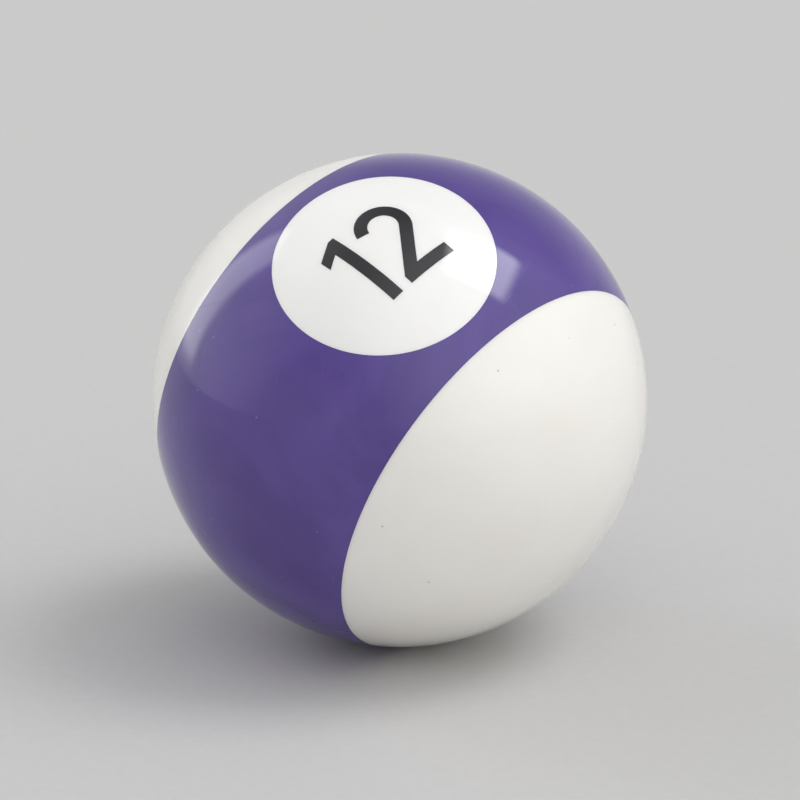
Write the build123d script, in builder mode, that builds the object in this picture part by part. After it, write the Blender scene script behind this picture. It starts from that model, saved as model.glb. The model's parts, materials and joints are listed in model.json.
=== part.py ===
from build123d import *

import os
from math import radians, sqrt, tan

# A striped pool ball, cast in stages from resin: a filled core, a coloured band round it,
# a white cap on each side of the band, and a white disc with two inlaid digits on each side.
# The origin is the ball's centre. Millimetres and degrees.

# --- Driving dimensions ------------------------------------------------------
ball_diameter = 38.1
stripe_width = 20.0
number_circle_diameter = 16.4

# How the ball lies: the front number faces -Y, tipped up from the horizon,
# and the whole ball is rolled anticlockwise about the middle of that number.
number_tilt = 50.0
number_roll = 50.0

# The core, with a rib that keys the band and a spigot that centres each cap.
# Heights here and below are distances from the ball's centre.
core_diameter = 24.0
rib_diameter = 26.0
rib_width = 6.0
spigot_diameter = 7.0
spigot_tip_height = 14.0
core_edge_radius = 0.4

# A ring-shaped tongue under each cap sits in a groove in the band's side.
tongue_middle_radius = 13.5
tongue_width = 2.0
tongue_depth = 1.0

# The number discs are wider inside than at the surface, so they can't come out.
disc_floor_height = 14.2
disc_taper = 5.0

# Black digits, let into the discs.
digit_height = 7.2
digit_stroke = 1.0
digit_inlay_depth = 1.5
digit_gap = 0.9
one_flag_run = 1.15
one_flag_drop = 0.95
two_width = 4.3
two_start_angle = 165.0
two_neck_angle = 40.0

# --- Worked-out sizes --------------------------------------------------------
ball_radius = ball_diameter / 2
stripe_half = stripe_width / 2
circle_radius = number_circle_diameter / 2
circle_height = sqrt(ball_radius**2 - circle_radius**2)
disc_thickness = ball_radius - disc_floor_height
disc_floor_radius = circle_radius + (circle_height - disc_floor_height) * tan(radians(disc_taper))
digit_floor_height = ball_radius - digit_inlay_depth
one_width = one_flag_run + digit_stroke
number_width = one_width + digit_gap + two_width

# --- Places ------------------------------------------------------------------
# On the front face, local X is the reading direction, local Y the stripe's axis
# and local Z points out through the number. The back face is half a turn round that axis.
front_face = Plane(Plane.XZ * Rot(-number_tilt, 0, 0) * Rot(0, 0, number_roll))
back_face = Plane(front_face * Rot(0, 180, 0))
stripe_axis = Axis((0, 0, 0), front_face.y_dir)
stripe_middle = Plane(origin=(0, 0, 0), z_dir=front_face.y_dir)


def digit_one():
    """Outline of the digit 1: an upright bar with a slanted flag."""
    right = one_width - number_width / 2
    left = right - digit_stroke
    foot = -digit_height / 2
    top = digit_height / 2
    flag_top = top - one_flag_drop
    flag_foot = flag_top - digit_stroke
    flag_slope = one_flag_drop / (one_flag_run + digit_stroke / 2)
    with BuildSketch() as outline:
        with BuildLine():
            Polyline(
                (left, foot),
                (right, foot),
                (right, top),
                (left + digit_stroke / 2, top),
                (left - one_flag_run, flag_top),
                (left - one_flag_run, flag_foot),
                (left, flag_foot + one_flag_run * flag_slope),
                close=True,
            )
        make_face()
    return outline.sketch


def digit_two():
    """Outline of the digit 2: a round bowl, a straight neck and a flat base."""
    right = number_width / 2
    left = right - two_width
    foot = -digit_height / 2
    base_top = foot + digit_stroke
    bowl_radius = two_width / 2
    bowl = Vector(left + bowl_radius, digit_height / 2 - bowl_radius)
    bowl_sweep = -(two_start_angle + two_neck_angle)
    neck = Vector(0, -1).rotate(Axis.Z, -two_neck_angle)
    with BuildSketch() as outline:
        with BuildLine():
            outer = CenterArc(bowl, bowl_radius, two_start_angle, bowl_sweep)
            inner = CenterArc(bowl, bowl_radius - digit_stroke, two_start_angle, bowl_sweep)
            Line(outer @ 0, inner @ 0)
            neck_foot = outer @ 1 + neck * (((outer @ 1).Y - base_top) / -neck.Y)
            heel = inner @ 1 + neck * (((inner @ 1).X - left) / -neck.X)
            Polyline(outer @ 1, neck_foot, (right, base_top), (right, foot), (left, foot), heel, inner @ 1)
        make_face()
    return outline.sketch


def digit_inlay(face, digit):
    """One black digit, from the floor of its pocket to the ball's surface."""
    with BuildPart() as inlay:
        with BuildSketch(face.offset(digit_floor_height)):
            add(digit)
        extrude(amount=digit_inlay_depth)
        Sphere(ball_radius, mode=Mode.INTERSECT)
    return inlay


def disc_plug(face):
    """The round, tapered plug that a number disc and its pocket in the band share."""
    with BuildPart() as plug:
        with BuildSketch(face.offset(disc_floor_height)):
            Circle(disc_floor_radius)
        extrude(amount=disc_thickness, taper=disc_taper)
    return plug.part


def number_disc(face, digit_pair):
    """White disc, rounded off to the ball's surface, with a pocket for each digit."""
    with BuildPart() as disc:
        add(disc_plug(face))
        Sphere(ball_radius, mode=Mode.INTERSECT)
        with BuildSketch(face.offset(digit_floor_height)):
            add(digit_pair)
        extrude(amount=digit_inlay_depth, mode=Mode.SUBTRACT)
    return disc


# --- Core --------------------------------------------------------------------
with BuildSketch(front_face) as core_section:
    Circle(core_diameter / 2)
    Rectangle(rib_diameter, rib_width)
    Rectangle(spigot_diameter, 2 * spigot_tip_height)
    fillet(core_section.vertices(), core_edge_radius)
    Rectangle(rib_diameter, 2 * spigot_tip_height, align=(Align.MIN, Align.CENTER), mode=Mode.INTERSECT)

with BuildPart() as core:
    revolve(core_section.sketch, axis=stripe_axis)

# --- Stripe band -------------------------------------------------------------
with BuildPart() as stripe_band:
    with BuildSketch(front_face):
        Circle(ball_radius)
        Rectangle(ball_radius, stripe_width, align=(Align.MIN, Align.CENTER), mode=Mode.INTERSECT)
        add(core_section.sketch_local, mode=Mode.SUBTRACT)
        with Locations((tongue_middle_radius, stripe_half), (tongue_middle_radius, -stripe_half)):
            Rectangle(tongue_width, 2 * tongue_depth, mode=Mode.SUBTRACT)
    revolve(axis=stripe_axis)
    add([disc_plug(front_face), disc_plug(back_face)], mode=Mode.SUBTRACT)

# --- Caps --------------------------------------------------------------------
with BuildPart() as upper_cap:
    with BuildSketch(front_face):
        Circle(ball_radius)
        with Locations((0, stripe_half)):
            Rectangle(ball_radius, ball_radius, align=Align.MIN, mode=Mode.INTERSECT)
        with Locations((tongue_middle_radius, stripe_half)):
            Rectangle(tongue_width, tongue_depth, align=(Align.CENTER, Align.MAX))
        add(core_section.sketch_local, mode=Mode.SUBTRACT)
    revolve(axis=stripe_axis)

with BuildPart() as lower_cap:
    mirror(upper_cap.part, about=stripe_middle)

# --- Number discs and digits -------------------------------------------------
pieces = {
    "core": core,
    "stripe_band": stripe_band,
    "upper_cap": upper_cap,
    "lower_cap": lower_cap,
}
digits = [digit_one(), digit_two()]
for side, face in {"front": front_face, "back": back_face}.items():
    pieces[f"{side}_number_disc"] = number_disc(face, digits)
    for numeral, digit in enumerate(digits, start=1):
        pieces[f"{side}_numeral_{numeral}"] = digit_inlay(face, digit)

os.makedirs("parts", exist_ok=True)
for name, piece in pieces.items():
    piece.part.label = name
    export_step(piece.part, f"parts/{name}.step")
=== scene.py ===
import json
from math import acos, asin, atan, ceil, cos, degrees, pi, radians, sin, sqrt, tan

import bmesh
import bpy
import numpy as np
from mathutils import Matrix, Vector


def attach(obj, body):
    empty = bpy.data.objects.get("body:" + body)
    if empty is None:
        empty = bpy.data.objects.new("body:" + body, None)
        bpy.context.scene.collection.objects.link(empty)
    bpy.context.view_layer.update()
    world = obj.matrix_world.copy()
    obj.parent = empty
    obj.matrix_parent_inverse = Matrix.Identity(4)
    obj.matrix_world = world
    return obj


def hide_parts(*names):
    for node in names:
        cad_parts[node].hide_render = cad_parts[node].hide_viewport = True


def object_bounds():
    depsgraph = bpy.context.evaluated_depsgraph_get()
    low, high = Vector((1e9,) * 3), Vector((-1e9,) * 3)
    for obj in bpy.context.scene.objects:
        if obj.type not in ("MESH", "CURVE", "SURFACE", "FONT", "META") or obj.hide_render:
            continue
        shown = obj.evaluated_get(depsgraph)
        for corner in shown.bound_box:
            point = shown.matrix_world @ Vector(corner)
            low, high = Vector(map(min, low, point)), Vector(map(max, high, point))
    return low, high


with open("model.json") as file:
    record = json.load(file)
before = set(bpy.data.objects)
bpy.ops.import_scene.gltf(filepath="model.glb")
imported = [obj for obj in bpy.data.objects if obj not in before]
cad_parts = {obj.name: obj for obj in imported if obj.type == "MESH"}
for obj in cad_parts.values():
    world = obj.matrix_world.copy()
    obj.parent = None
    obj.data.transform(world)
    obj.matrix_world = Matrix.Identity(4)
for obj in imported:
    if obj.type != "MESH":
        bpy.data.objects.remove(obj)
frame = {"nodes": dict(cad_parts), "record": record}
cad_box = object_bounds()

# A cast-resin pool ball with a purple stripe. Each casting is turned or cut here as its own
# closed solid, with the CAD's sizes. Millimetres until a solid is finished, then metres.
MM = 0.001

# --- The ball's own sizes, in millimetres and degrees --------------------------
BALL_RADIUS = max(frame["record"]["size"]["bbox_m"]) / 2 / MM
STRIPE_HALF = 10.0
CIRCLE_RADIUS = 8.2
NUMBER_TILT = 50
NUMBER_ROLL = 50

CORE_RADIUS = 12.0
RIB_RADIUS = 13.0
RIB_HALF = 3.0
SPIGOT_RADIUS = 3.5
SPIGOT_TIP = 14.0
CORE_EDGE_RADIUS = 0.4

# A ring-shaped tongue under each cap fills a groove of the same size in the band.
TONGUE_MIDDLE = 13.5
TONGUE_WIDTH = 2.0
TONGUE_DEPTH = 1.0
TONGUE_IN = TONGUE_MIDDLE - TONGUE_WIDTH / 2
TONGUE_OUT = TONGUE_MIDDLE + TONGUE_WIDTH / 2
TONGUE_TIP = STRIPE_HALF - TONGUE_DEPTH

DISC_FLOOR = 14.2
DISC_TAPER = 5

DIGIT_HEIGHT = 7.2
DIGIT_STROKE = 1.0
DIGIT_INLAY_DEPTH = 1.5
DIGIT_GAP = 0.9
ONE_FLAG_RUN = 1.15
ONE_FLAG_DROP = 0.95
TWO_WIDTH = 4.3
TWO_START_ANGLE = 165
TWO_NECK_ANGLE = 40
ONE_WIDTH = ONE_FLAG_RUN + DIGIT_STROKE
NUMBER_WIDTH = ONE_WIDTH + DIGIT_GAP + TWO_WIDTH

# Where a root of the core meets its round part: the root's centre is this far from the ball's.
ROOT_REACH = CORE_RADIUS + CORE_EDGE_RADIUS
# Where the joint between the band and a cap meets the core.
SEAM_ANGLE = degrees(asin(STRIPE_HALF / CORE_RADIUS))

# How finely the surfaces are divided.
BALL_STEP = 0.3
CORE_STEP = 0.6
CORE_EDGE_STEP = 0.16
DIGIT_STEP = 0.1
BALL_SEGMENTS = 400
DISC_SEGMENTS = 256
SHARP_ANGLE = radians(30)

# A point is on the axis within the first distance, and on another point or on the ball's
# surface within the second. Cutting tools reach past the ball by the third.
ON_AXIS = 1e-6
SLIVER = 0.002
TOOL_REACH = 1.0

# --- The resin's looks, in millimetres -----------------------------------------
# Share is the part of a pattern's cells that has a mark, and each pattern has its own offset,
# so that no two of them line up.
CLOUD_SIZE = 9
GRAIN_SIZE = 0.35
GRAIN_STRENGTH = 0.5
FLECKS = {"spacing": 1.6, "size": 0.22, "offset": 17}
FLECK_STRENGTH = 0.6
WARP_SIZE = 12
LONG_HAIRLINES = {"spacing": 8, "length": 6, "width": 0.06, "share": 0.6, "offset": 5}
SHORT_HAIRLINES = {"spacing": 4.5, "length": 3, "width": 0.045, "share": 0.5, "offset": 23}
HAIRLINE_DEPTH = 0.002
PITS = {"spacing": 3.1, "size": 0.30, "share": 0.25, "offset": 47}
PIT_DEPTH = 0.006
RIPPLE_SIZE = 1.8
RIPPLE_HEIGHT = 0.0016
HAZE_SIZE = 5

# The noise values between which a pattern goes from nothing to full.
CLOUD_RANGE = (0.25, 0.75)
GRAIN_RANGE = (0.35, 0.65)
HAZE_RANGE = (0.42, 0.68)
GRIT_RANGE = (0.45, 0.62)
FIBRE_RANGE = (0.3, 0.7)

# Roughness where the polish is clean and where it is hazed, what the marks add to it, and
# what it is on the unpolished faces inside, which start this deep under the ball's surface.
GLOSS_ROUGHNESS = 0.05
HAZE_ROUGHNESS = 0.12
HAIRLINE_ROUGHNESS = 0.25
PIT_ROUGHNESS = 0.2
CAST_ROUGHNESS = 0.55
POLISH_DEPTH = 0.02
CAST_DEPTH = 0.05
RESIN_IOR = 1.58

# White resin lets a little light in, which softens its shading. How much, and how deep.
WHITE_TRANSLUCENCY = 0.45
LIGHT_DEPTH = 0.45

# The core's filler shows as grit, which is rougher than the resin round it.
GRIT_SIZE = 0.5
GRIT_HEIGHT = 0.02
GRIT_CLOUD_SIZE = 6
CORE_ROUGHNESS = 0.62
GRIT_ROUGHNESS = 0.8

# --- The studio ----------------------------------------------------------------
# The floor's half width is in metres, and its fibre is in millimetres.
FLOOR_HALF = 1.5
FIBRE_SIZE = 0.8
FLOOR_ROUGHNESS = 0.7

# The dome's even light falls from the horizon to this height, where straight up is 1.
HORIZON_LIGHT = 0.67
HIGH_LIGHT = 0.36
HIGH_LIGHT_HEIGHT = 0.8
LIGHT_COLOUR = (0.98, 0.985, 1.0, 1)

# The camera's place round the ball in degrees, its lens in millimetres, and the share of its
# view that the ball fills. It sees nothing nearer than the last, in metres.
CAMERA_AZIMUTH = 6
CAMERA_ELEVATION = 15
LENS = 135
BALL_SHARE = 0.62
NEAREST_SEEN = 0.01


# --- Places --------------------------------------------------------------------
def number_axes(half_turn):
    """Reading direction, stripe axis and outward direction of a number, as a matrix's X, Y and Z."""
    facing_front = Matrix.Rotation(radians(90), 4, "X")
    tilted = Matrix.Rotation(radians(-NUMBER_TILT), 4, "X")
    rolled = Matrix.Rotation(radians(NUMBER_ROLL), 4, "Z")
    turned = Matrix.Rotation(half_turn, 4, "Y")
    return facing_front @ tilted @ rolled @ turned


FRONT = number_axes(0)
BACK = number_axes(pi)
STRIPE_UP = FRONT @ Matrix.Rotation(radians(-90), 4, "X")
STRIPE_DOWN = FRONT @ Matrix.Rotation(radians(90), 4, "X")


# --- Outlines, as (radius, height) points --------------------------------------
def arc(centre, radius, start, end, step):
    """Points on an arc about centre, from angle start to angle end in degrees, both included."""
    count = max(2, ceil(abs(radians(end - start)) * radius / step))
    angles = [radians(start + (end - start) * i / count) for i in range(count + 1)]
    return [(centre[0] + radius * cos(a), centre[1] + radius * sin(a)) for a in angles]


def ball_arc(from_height, to_height):
    """The ball's outline between two heights."""
    start, end = (degrees(asin(h / BALL_RADIUS)) for h in (from_height, to_height))
    return arc((0, 0), BALL_RADIUS, start, end, BALL_STEP)


def core_arc(start, end):
    """The round part of the core's outline between two angles."""
    return arc((0, 0), CORE_RADIUS, start, end, CORE_STEP)


def core_edge(centre, start, end):
    """A rounded edge or root on the core."""
    return arc(centre, CORE_EDGE_RADIUS, start, end, CORE_EDGE_STEP)


# --- Solids --------------------------------------------------------------------
def make_object(name, verts, faces, axes):
    """A mesh object from points in millimetres, set in the row frame by axes."""
    mesh = bpy.data.meshes.new(name)
    mesh.from_pydata([axes @ Vector(v) * MM for v in verts], [], faces)
    solid = bmesh.new()
    solid.from_mesh(mesh)
    bmesh.ops.recalc_face_normals(solid, faces=solid.faces)
    solid.to_mesh(mesh)
    solid.free()
    made = bpy.data.objects.new(name, mesh)
    bpy.context.collection.objects.link(made)
    return made


def lathe(name, profile, axes, segments=BALL_SEGMENTS):
    """Closed solid turned round the Z of axes. Profile points on the axis become single poles."""
    verts = []
    rings = []
    for radius, height in profile:
        if radius < ON_AXIS:
            rings.append([len(verts)] * segments)
            verts.append((0, 0, height))
            continue
        rings.append(list(range(len(verts), len(verts) + segments)))
        for i in range(segments):
            turn = 2 * pi * i / segments
            verts.append((radius * cos(turn), radius * sin(turn), height))
    ring_pairs = list(zip(rings, rings[1:]))
    if profile[0][0] > ON_AXIS:
        ring_pairs.append((rings[-1], rings[0]))
    faces = []
    for low, high in ring_pairs:
        for i in range(segments):
            j = (i + 1) % segments
            corners = list(dict.fromkeys((low[i], low[j], high[j], high[i])))
            faces.append(corners)
    return make_object(name, verts, faces, axes)


def prism(name, outline, floor, top, axes):
    """Closed straight prism over an outline, from height floor to height top."""
    count = len(outline)
    verts = [(x, y, z) for z in (floor, top) for x, y in outline]
    sides = [(i, (i + 1) % count, (i + 1) % count + count, i + count) for i in range(count)]
    ends = [tuple(range(count)), tuple(range(count, 2 * count))]
    return make_object(name, verts, sides + ends, axes)


def cut(solid, tool, operation):
    """Applies one boolean to solid; the tool stays as it is."""
    step = solid.modifiers.new("cut", "BOOLEAN")
    step.operation = operation
    step.object = tool
    step.solver = "EXACT"
    graph = bpy.context.evaluated_depsgraph_get()
    result = bpy.data.meshes.new_from_object(solid.evaluated_get(graph))
    solid.modifiers.remove(step)
    solid.data = result


def mend(solid):
    """Welds points that a cut leaves almost on top of each other, and removes the slivers between."""
    shape = bmesh.new()
    shape.from_mesh(solid.data)
    bmesh.ops.remove_doubles(shape, verts=shape.verts, dist=SLIVER * MM)
    bmesh.ops.triangulate(shape, faces=[face for face in shape.faces if len(face.verts) > 4])
    bmesh.ops.dissolve_degenerate(shape, edges=shape.edges, dist=SLIVER * MM)
    between_two_edges = [point for point in shape.verts if len(point.link_edges) == 2]
    bmesh.ops.dissolve_verts(shape, verts=between_two_edges)
    shape.to_mesh(solid.data)
    shape.free()


def polish(solid):
    """Smooth shading, sharp inner edges, and exactly round normals wherever the ball's surface shows."""
    mesh = solid.data
    mesh.name = solid.name
    mesh.shade_smooth()
    mesh.set_sharp_from_angle(angle=SHARP_ANGLE)
    places = np.empty(len(mesh.vertices) * 3)
    mesh.vertices.foreach_get("co", places)
    places = places.reshape(-1, 3)
    distances = np.linalg.norm(places, axis=1)
    on_ball = distances > (BALL_RADIUS - SLIVER) * MM
    normals = np.zeros((len(mesh.loops), 3))
    for polygon in mesh.polygons:
        corners = list(polygon.vertices)
        if on_ball[corners].all():
            normals[list(polygon.loop_indices)] = places[corners] / distances[corners, None]
    mesh.normals_split_custom_set(normals.tolist())


def stripe_band():
    """The purple casting: a zone of the ball with a seat for the core, two grooves and two pockets."""
    root_height = RIB_HALF + CORE_EDGE_RADIUS
    root_angle = degrees(asin(root_height / ROOT_REACH))
    root = (ROOT_REACH * cos(radians(root_angle)), root_height)
    rib_edge = (RIB_RADIUS - CORE_EDGE_RADIUS, RIB_HALF - CORE_EDGE_RADIUS)
    upper_side = [
        (TONGUE_OUT, STRIPE_HALF),
        (TONGUE_OUT, TONGUE_TIP),
        (TONGUE_IN, TONGUE_TIP),
        (TONGUE_IN, STRIPE_HALF),
        *core_arc(SEAM_ANGLE, root_angle),
        *core_edge(root, 180 + root_angle, 270)[1:],
        *core_edge(rib_edge, 90, 0),
    ]
    lower_side = [(radius, -height) for radius, height in reversed(upper_side)]
    profile = [*ball_arc(-STRIPE_HALF, STRIPE_HALF), *upper_side, *lower_side]
    band = lathe("purple_stripe", profile, STRIPE_UP)
    for axes in (FRONT, BACK):
        plug = disc_blank("pocket_tool", axes, BALL_RADIUS + TOOL_REACH)
        cut(band, plug, "DIFFERENCE")
        bpy.data.objects.remove(plug)
    return band


def cap(name, axes):
    """A white casting: one end of the ball, with a seat for the core, a socket and a tongue."""
    root_radius = SPIGOT_RADIUS + CORE_EDGE_RADIUS
    root_angle = degrees(acos(root_radius / ROOT_REACH))
    root = (root_radius, ROOT_REACH * sin(radians(root_angle)))
    tip_edge = (SPIGOT_RADIUS - CORE_EDGE_RADIUS, SPIGOT_TIP - CORE_EDGE_RADIUS)
    profile = [
        (0, SPIGOT_TIP),
        *core_edge(tip_edge, 90, 0),
        *core_edge(root, 180, 180 + root_angle),
        *core_arc(root_angle, SEAM_ANGLE)[1:],
        (TONGUE_IN, STRIPE_HALF),
        (TONGUE_IN, TONGUE_TIP),
        (TONGUE_OUT, TONGUE_TIP),
        (TONGUE_OUT, STRIPE_HALF),
        *ball_arc(STRIPE_HALF, BALL_RADIUS),
    ]
    return lathe(name, profile, axes)


def disc_blank(name, axes, top=BALL_RADIUS):
    """The tapered plug of a number disc, ending in the ball's surface, or flat above it at top."""
    rim_height = sqrt(BALL_RADIUS**2 - CIRCLE_RADIUS**2)
    taper = tan(radians(DISC_TAPER))
    floor_radius = CIRCLE_RADIUS + (rim_height - DISC_FLOOR) * taper
    if top > BALL_RADIUS:
        end = [(CIRCLE_RADIUS - (top - rim_height) * taper, top), (0, top)]
    else:
        end = ball_arc(rim_height, BALL_RADIUS)
    return lathe(name, [(0, DISC_FLOOR), (floor_radius, DISC_FLOOR), *end], axes, DISC_SEGMENTS)


def one_outline():
    """Digit 1: an upright bar with a slanted flag."""
    right = ONE_WIDTH - NUMBER_WIDTH / 2
    left = right - DIGIT_STROKE
    top = DIGIT_HEIGHT / 2
    flag_top = top - ONE_FLAG_DROP
    flag_foot = flag_top - DIGIT_STROKE
    flag_slope = ONE_FLAG_DROP / (ONE_FLAG_RUN + DIGIT_STROKE / 2)
    return [
        (left, -top),
        (right, -top),
        (right, top),
        (left + DIGIT_STROKE / 2, top),
        (left - ONE_FLAG_RUN, flag_top),
        (left - ONE_FLAG_RUN, flag_foot),
        (left, flag_foot + ONE_FLAG_RUN * flag_slope),
    ]


def two_outline():
    """Digit 2: a round bowl, a straight neck and a flat base."""
    right = NUMBER_WIDTH / 2
    left = right - TWO_WIDTH
    foot = -DIGIT_HEIGHT / 2
    base_top = foot + DIGIT_STROKE
    bowl_radius = TWO_WIDTH / 2
    bowl = (left + bowl_radius, DIGIT_HEIGHT / 2 - bowl_radius)
    outer = arc(bowl, bowl_radius, TWO_START_ANGLE, -TWO_NECK_ANGLE, DIGIT_STEP)
    inner = arc(bowl, bowl_radius - DIGIT_STROKE, -TWO_NECK_ANGLE, TWO_START_ANGLE, DIGIT_STEP)
    neck_lean = tan(radians(TWO_NECK_ANGLE))
    neck_foot = outer[-1][0] - (outer[-1][1] - base_top) * neck_lean
    heel = inner[0][1] - (inner[0][0] - left) / neck_lean
    base = [(neck_foot, base_top), (right, base_top), (right, foot), (left, foot), (left, heel)]
    return outer + base + inner


# --- Shader nodes --------------------------------------------------------------
def add_node(tree, kind, sockets=None, **settings):
    """One shader node. sockets gives each input a value or another node's output."""
    made = tree.nodes.new(kind)
    for key, value in settings.items():
        setattr(made, key, value)
    for key, value in (sockets or {}).items():
        if isinstance(value, bpy.types.NodeSocket):
            tree.links.new(value, made.inputs[key])
        else:
            made.inputs[key].default_value = value
    return made


def maths(tree, operation, *values):
    """A maths node's output, from values or other outputs."""
    return add_node(tree, "ShaderNodeMath", dict(enumerate(values)), operation=operation).outputs[0]


def vector(tree, operation, *values):
    """A vector maths node's vector output."""
    made = add_node(tree, "ShaderNodeVectorMath", dict(enumerate(values)), operation=operation)
    return made.outputs["Vector"]


def scaled(tree, place, factor):
    """A vector times a number."""
    sockets = {0: place, "Scale": factor}
    return add_node(tree, "ShaderNodeVectorMath", sockets, operation="SCALE").outputs["Vector"]


def dot(tree, first, second):
    """How far first reaches along second."""
    sockets = {0: first, 1: second}
    return add_node(tree, "ShaderNodeVectorMath", sockets, operation="DOT_PRODUCT").outputs["Value"]


def length_of(tree, place):
    """How long a vector is."""
    return add_node(tree, "ShaderNodeVectorMath", {0: place}, operation="LENGTH").outputs["Value"]


def ramp(tree, value, start, end, low=0.0, high=1.0):
    """Maps start..end smoothly to low..high, and holds it beyond."""
    sockets = {"Value": value, "From Min": start, "From Max": end, "To Min": low, "To Max": high}
    return add_node(tree, "ShaderNodeMapRange", sockets, interpolation_type="SMOOTHSTEP").outputs[0]


def blend(tree, amount, first, second):
    """Colour mix: first where amount is 0, second where it is 1."""
    first, second = ((*c, 1) if isinstance(c, tuple) else c for c in (first, second))
    return add_node(tree, "ShaderNodeMix", {0: amount, 6: first, 7: second}, data_type="RGBA").outputs[2]


def noise(tree, place, size, detail, distortion=0.0, offset=0.0):
    """Noise from 0 to 1 whose lumps are about size millimetres across."""
    moved = vector(tree, "ADD", place, (offset, offset, offset))
    sockets = {"Vector": moved, "Scale": 1 / size, "Detail": detail, "Distortion": distortion}
    return add_node(tree, "ShaderNodeTexNoise", sockets).outputs[0]


def specks(tree, place, spacing, size, share, offset):
    """Scattered round specks, 0 to 1: one in some of the cells of a pattern."""
    moved = vector(tree, "ADD", place, (offset, offset, offset))
    cells = add_node(tree, "ShaderNodeTexVoronoi", {"Vector": moved, "Scale": 1 / spacing})
    spot = ramp(tree, cells.outputs["Distance"], size / spacing / 2, size / spacing / 4)
    chance = add_node(tree, "ShaderNodeSeparateColor", {0: cells.outputs["Color"]}).outputs[0]
    return maths(tree, "MULTIPLY", spot, maths(tree, "LESS_THAN", chance, share))


def hairlines(tree, place, spacing, length, width, share, offset):
    """Hairlines on the ball, 0 to 1: one across some cells of a pattern, each its own way."""
    outward = vector(tree, "NORMALIZE", place)
    moved = vector(tree, "ADD", place, (offset, -offset, offset / 2))
    cells = add_node(tree, "ShaderNodeTexVoronoi", {"Vector": moved, "Scale": 1 / spacing})
    aside = vector(tree, "SUBTRACT", moved, cells.outputs["Position"])
    flat = vector(tree, "SUBTRACT", aside, scaled(tree, outward, dot(tree, aside, outward)))
    turn = vector(tree, "SUBTRACT", cells.outputs["Color"], (0.5, 0.5, 0.5))
    across = vector(tree, "NORMALIZE", vector(tree, "CROSS_PRODUCT", outward, turn))
    line = ramp(tree, maths(tree, "ABSOLUTE", dot(tree, flat, across)), width / 2, 0)
    chance = add_node(tree, "ShaderNodeTexWhiteNoise", {"Vector": cells.outputs["Position"]})
    kept = maths(tree, "LESS_THAN", chance.outputs["Value"], share)
    ends = ramp(tree, length_of(tree, flat), length / 2, length / 8)
    return maths(tree, "MULTIPLY", line, maths(tree, "MULTIPLY", ends, kept))


def bump(tree, shader, height):
    """Gives a shader a surface relief, from a height in millimetres."""
    relief = add_node(tree, "ShaderNodeBump", {"Height": height, "Distance": MM, "Strength": 1.0})
    tree.links.new(relief.outputs[0], shader.inputs["Normal"])


# --- Materials -----------------------------------------------------------------
def start_material(name):
    """A new material: its node tree, its shader, and the place on the piece in millimetres."""
    material = bpy.data.materials.new(name)
    material.use_nodes = True
    tree = material.node_tree
    place = scaled(tree, add_node(tree, "ShaderNodeTexCoord").outputs["Object"], 1 / MM)
    return material, tree, tree.nodes["Principled BSDF"], place


def resin(name, colour, deep_colour, speck_colour, speck_share, translucency=0.0):
    """Polished cast resin: clouded pigment, fine grain, a few specks, faint haze and hairlines."""
    material, tree, shader, place = start_material(name)
    clouds = ramp(tree, noise(tree, place, CLOUD_SIZE, detail=5, distortion=1.2), *CLOUD_RANGE)
    grain = noise(tree, place, GRAIN_SIZE, detail=2, offset=31)
    grain = ramp(tree, grain, *GRAIN_RANGE, 0, GRAIN_STRENGTH)
    flecks = specks(tree, place, share=speck_share, **FLECKS)
    tint = blend(tree, clouds, colour, deep_colour)
    tint = blend(tree, maths(tree, "MULTIPLY", grain, clouds), tint, deep_colour)
    tint = blend(tree, maths(tree, "MULTIPLY", flecks, FLECK_STRENGTH), tint, speck_colour)
    tree.links.new(tint, shader.inputs["Base Color"])

    bent = vector(tree, "ADD", place, noise(tree, place, WARP_SIZE, detail=1, offset=7))
    marks = maths(tree, "MAXIMUM", hairlines(tree, bent, **LONG_HAIRLINES),
                  hairlines(tree, bent, **SHORT_HAIRLINES))
    pits = specks(tree, place, **PITS)
    haze = noise(tree, place, HAZE_SIZE, detail=6, distortion=0.6, offset=61)
    rough = ramp(tree, haze, *HAZE_RANGE, GLOSS_ROUGHNESS, HAZE_ROUGHNESS)
    rough = maths(tree, "ADD", rough, maths(tree, "MULTIPLY", marks, HAIRLINE_ROUGHNESS))
    rough = maths(tree, "ADD", rough, maths(tree, "MULTIPLY", pits, PIT_ROUGHNESS))
    inside = ramp(tree, length_of(tree, place), BALL_RADIUS - POLISH_DEPTH, BALL_RADIUS - CAST_DEPTH)
    rough = maths(tree, "MAXIMUM", rough, maths(tree, "MULTIPLY", inside, CAST_ROUGHNESS))
    tree.links.new(rough, shader.inputs["Roughness"])

    ripple = noise(tree, place, RIPPLE_SIZE, detail=1, offset=83)
    carved = maths(tree, "ADD", maths(tree, "MULTIPLY", marks, HAIRLINE_DEPTH),
                   maths(tree, "MULTIPLY", pits, PIT_DEPTH))
    bump(tree, shader, maths(tree, "SUBTRACT", maths(tree, "MULTIPLY", ripple, RIPPLE_HEIGHT), carved))
    shader.inputs["IOR"].default_value = RESIN_IOR
    shader.inputs["Subsurface Weight"].default_value = translucency
    shader.inputs["Subsurface Radius"].default_value = (1, 1, 1)
    shader.inputs["Subsurface Scale"].default_value = LIGHT_DEPTH * MM
    return material


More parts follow.
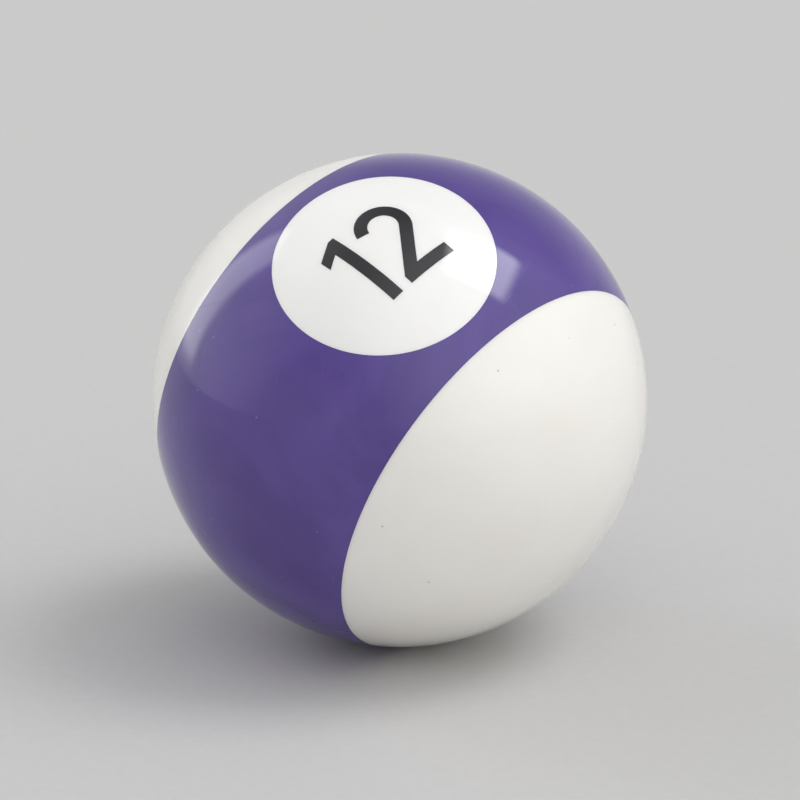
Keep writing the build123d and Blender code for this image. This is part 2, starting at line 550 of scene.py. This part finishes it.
def filled_resin(name, colour, grit_colour):
    """Unpolished core casting: matte, with mineral filler showing as grit."""
    material, tree, shader, place = start_material(name)
    grit = ramp(tree, noise(tree, place, GRIT_SIZE, detail=4), *GRIT_RANGE)
    clouds = noise(tree, place, GRIT_CLOUD_SIZE, detail=3, offset=11)
    tint = blend(tree, maths(tree, "MULTIPLY", grit, clouds), colour, grit_colour)
    tree.links.new(tint, shader.inputs["Base Color"])
    rough = ramp(tree, grit, 0, 1, CORE_ROUGHNESS, GRIT_ROUGHNESS)
    tree.links.new(rough, shader.inputs["Roughness"])
    bump(tree, shader, maths(tree, "MULTIPLY", grit, GRIT_HEIGHT))
    return material


def paper(name, colour, fibre_colour):
    """The floor's plain pale paper."""
    material, tree, shader, place = start_material(name)
    fibre = ramp(tree, noise(tree, place, FIBRE_SIZE, detail=4), *FIBRE_RANGE)
    tree.links.new(blend(tree, fibre, colour, fibre_colour), shader.inputs["Base Color"])
    shader.inputs["Roughness"].default_value = FLOOR_ROUGHNESS
    return material


purple = resin(
    "purple_resin",
    colour=(0.094, 0.054, 0.275),
    deep_colour=(0.068, 0.037, 0.218),
    speck_colour=(0.30, 0.24, 0.50),
    speck_share=0.25,
)
white = resin(
    "white_resin",
    colour=(0.885, 0.868, 0.825),
    deep_colour=(0.858, 0.834, 0.78),
    speck_colour=(0.42, 0.38, 0.33),
    speck_share=0.12,
    translucency=WHITE_TRANSLUCENCY,
)
disc_white = resin(
    "number_disc_resin",
    colour=(0.89, 0.885, 0.865),
    deep_colour=(0.87, 0.86, 0.83),
    speck_colour=(0.45, 0.43, 0.40),
    speck_share=0.12,
    translucency=WHITE_TRANSLUCENCY,
)
black = resin(
    "black_resin",
    colour=(0.012, 0.012, 0.014),
    deep_colour=(0.018, 0.018, 0.020),
    speck_colour=(0.10, 0.10, 0.10),
    speck_share=0.15,
)
core_grey = filled_resin("core_resin", colour=(0.56, 0.53, 0.48), grit_colour=(0.36, 0.33, 0.30))
pale = paper("pale_floor", colour=(0.545, 0.538, 0.529), fibre_colour=(0.533, 0.525, 0.515))


# --- Building the ball ---------------------------------------------------------
def finish_piece(piece, material, node):
    """Mends and polishes a solid, gives it its resin, and puts it in place of its CAD node."""
    mend(piece)
    polish(piece)
    piece.data.materials.clear()
    piece.data.materials.append(material)
    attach(piece, "root")
    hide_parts(node)


finish_piece(stripe_band(), purple, "stripe_band")
finish_piece(cap("white_cap_upper", STRIPE_UP), white, "upper_cap")
finish_piece(cap("white_cap_lower", STRIPE_DOWN), white, "lower_cap")

outlines = [one_outline(), two_outline()]
for side, axes in {"front": FRONT, "back": BACK}.items():
    disc = disc_blank(f"number_circle_{side}", axes)
    for numeral, outline in enumerate(outlines, start=1):
        tool = prism("digit_tool", outline, BALL_RADIUS - DIGIT_INLAY_DEPTH, BALL_RADIUS + TOOL_REACH, axes)
        digit = disc_blank(f"digit_{numeral}_{side}", axes)
        cut(digit, tool, "INTERSECT")
        cut(disc, tool, "DIFFERENCE")
        bpy.data.objects.remove(tool)
        finish_piece(digit, black, f"{side}_numeral_{numeral}")
    finish_piece(disc, disc_white, f"{side}_number_disc")

# The core's CAD shape is right as it is, and only gets its material.
core = frame["nodes"]["core"]
core.data.materials.clear()
core.data.materials.append(core_grey)

# --- Floor ---------------------------------------------------------------------
low, high = cad_box
floor_mesh = bpy.data.meshes.new("floor")
corners = [(x * FLOOR_HALF, y * FLOOR_HALF, low.z) for x, y in ((-1, -1), (1, -1), (1, 1), (-1, 1))]
floor_mesh.from_pydata(corners, [], [(0, 1, 2, 3)])
floor_mesh.materials.append(pale)
floor = bpy.data.objects.new("floor", floor_mesh)
bpy.context.collection.objects.link(floor)


# --- Studio light --------------------------------------------------------------
def direction(azimuth, elevation):
    """Unit vector from the ball towards a place round it. Azimuth 0 is in front, 90 on the right."""
    azimuth, elevation = radians(azimuth), radians(elevation)
    return Vector((sin(azimuth) * cos(elevation), -cos(azimuth) * cos(elevation), sin(elevation)))


def glow(tree, sky, azimuth, elevation, core, feather, strength):
    """A round patch of light in the dome: even over its core, then fading over its feather, in degrees."""
    facing = dot(tree, sky, direction(azimuth, elevation))
    return ramp(tree, facing, cos(radians(core + feather)), cos(radians(core)), 0, strength)


def softbox(tree, sky, azimuth, elevation, half_width, half_height, feather, strength):
    """An upright patch of light in the dome with soft edges; its half sizes are in degrees."""
    towards = direction(azimuth, elevation)
    aside = direction(azimuth + 90, 0)
    facing = dot(tree, sky, towards)
    patch = maths(tree, "MULTIPLY", maths(tree, "GREATER_THAN", facing, 0), strength)
    for axis, half in ((aside, half_width), (towards.cross(aside), half_height)):
        reach = maths(tree, "ABSOLUTE", maths(tree, "DIVIDE", dot(tree, sky, axis), facing))
        edge = ramp(tree, reach, tan(radians(half + feather)), tan(radians(half)))
        patch = maths(tree, "MULTIPLY", patch, edge)
    return patch


world = bpy.data.worlds.new("studio")
world.use_nodes = True
dome = world.node_tree
sky = add_node(dome, "ShaderNodeTexCoord").outputs["Generated"]
height = add_node(dome, "ShaderNodeSeparateXYZ", {0: sky}).outputs["Z"]
light = ramp(dome, height, 0, HIGH_LIGHT_HEIGHT, HORIZON_LIGHT, HIGH_LIGHT)
for patch in (
    softbox(dome, sky, azimuth=97, elevation=60, half_width=10, half_height=10, feather=5, strength=4.4),
    softbox(dome, sky, azimuth=-117, elevation=24, half_width=5, half_height=18, feather=6, strength=1.6),
    glow(dome, sky, azimuth=55, elevation=42, core=10, feather=55, strength=0.95),
    glow(dome, sky, azimuth=-105, elevation=33, core=10, feather=45, strength=0.55),
):
    light = maths(dome, "ADD", light, patch)
background = dome.nodes["Background"]
background.inputs["Color"].default_value = LIGHT_COLOUR
dome.links.new(light, background.inputs["Strength"])
bpy.context.scene.world = world
bpy.context.scene.view_settings.view_transform = "Standard"

# --- Camera --------------------------------------------------------------------
camera_data = bpy.data.cameras.new("camera")
camera_data.lens = LENS
camera_data.clip_start = NEAREST_SEEN
camera = bpy.data.objects.new("camera", camera_data)
towards_camera = direction(CAMERA_AZIMUTH, CAMERA_ELEVATION)
half_view = atan(camera_data.sensor_width / 2 / LENS)
camera.location = (low + high) / 2 + towards_camera * (high.x / sin(half_view * BALL_SHARE))
camera.rotation_mode = "QUATERNION"
camera.rotation_quaternion = towards_camera.to_track_quat("Z", "Y")
bpy.context.collection.objects.link(camera)
bpy.context.scene.camera = camera
